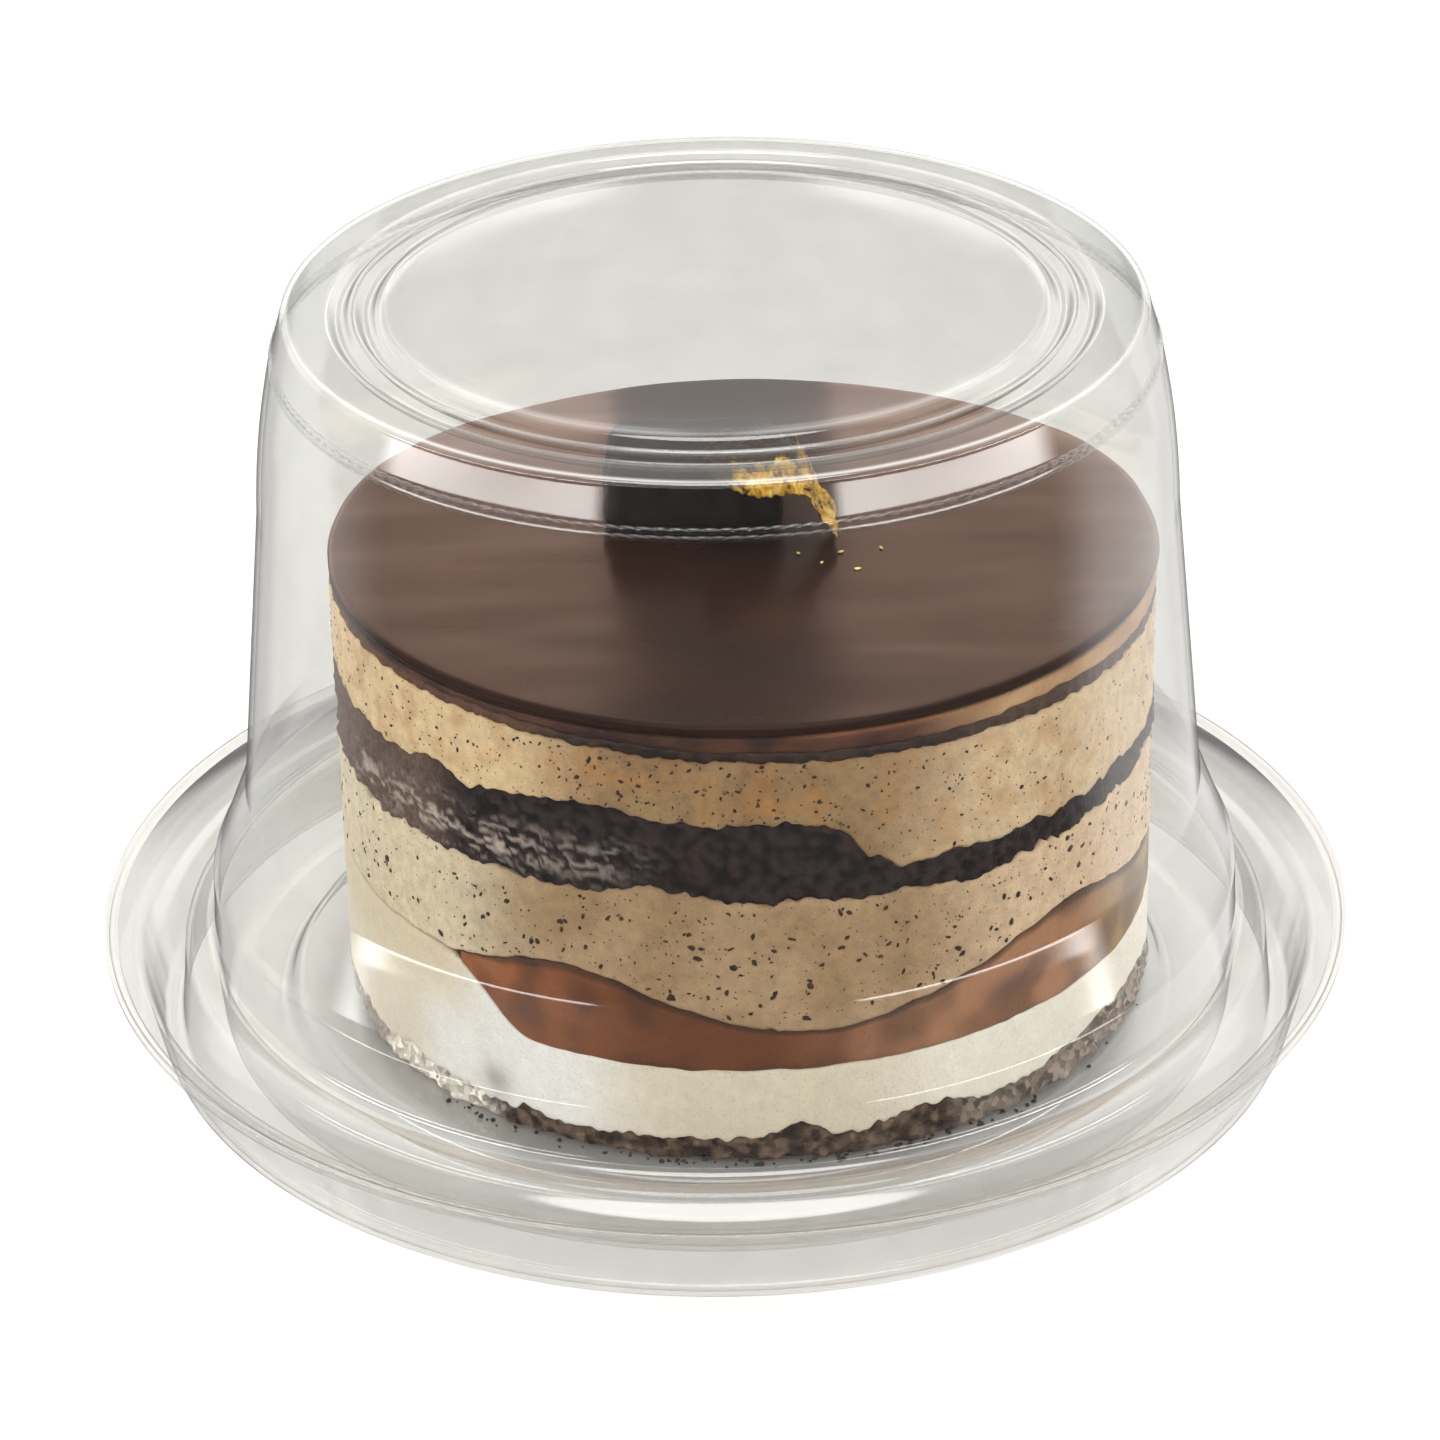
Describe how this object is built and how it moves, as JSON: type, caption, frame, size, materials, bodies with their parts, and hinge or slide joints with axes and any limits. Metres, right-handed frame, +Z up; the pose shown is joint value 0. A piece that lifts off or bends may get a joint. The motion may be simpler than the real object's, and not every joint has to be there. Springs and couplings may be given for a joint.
{
  "type": "layered chocolate mousse cake in a clear pack",
  "caption": "Round layered chocolate mousse cake with a dark glazed top, a chocolate piece and a gold leaf, shut in a clear domed pack that shows its layers.",
  "frame": {"origin": "centre of the pack's underside, on the surface that its foot ring stands on", "axes": "+Z up along the pack's axis, -Y towards the side that the picture shows, +X to the right of it"},
  "size_m": [0.134, 0.134, 0.082],
  "materials": {
    "clear_plastic": "clear formed plastic sheet",
    "glaze": "glossy set chocolate glaze",
    "ganache": "dark crumbly chocolate",
    "cap_mousse": "smooth matte mousse",
    "speckled_mousse": "airy mousse with dark specks",
    "sponge": "dark porous sponge",
    "milk_mousse": "airy milk chocolate mousse",
    "white_mousse": "smooth matte white mousse",
    "crumb": "coarse dark biscuit crumb",
    "dark_chocolate": "dark chocolate with a soft shine",
    "gold": "thin crumpled gold leaf"
  },
  "bodies": {
    "root": {"tray": "clear_plastic", "dome_lid": "clear_plastic", "crumb_base": "crumb", "white_mousse": "white_mousse", "milk_mousse": "milk_mousse", "lower_speckled_mousse": "speckled_mousse", "chocolate_sponge": "sponge", "upper_speckled_mousse": "speckled_mousse", "ganache_line": "ganache", "cap_mousse": "cap_mousse", "glaze": "glaze", "chocolate_piece": "dark_chocolate", "gold_leaf": "gold"}
  },
  "joints": []
}
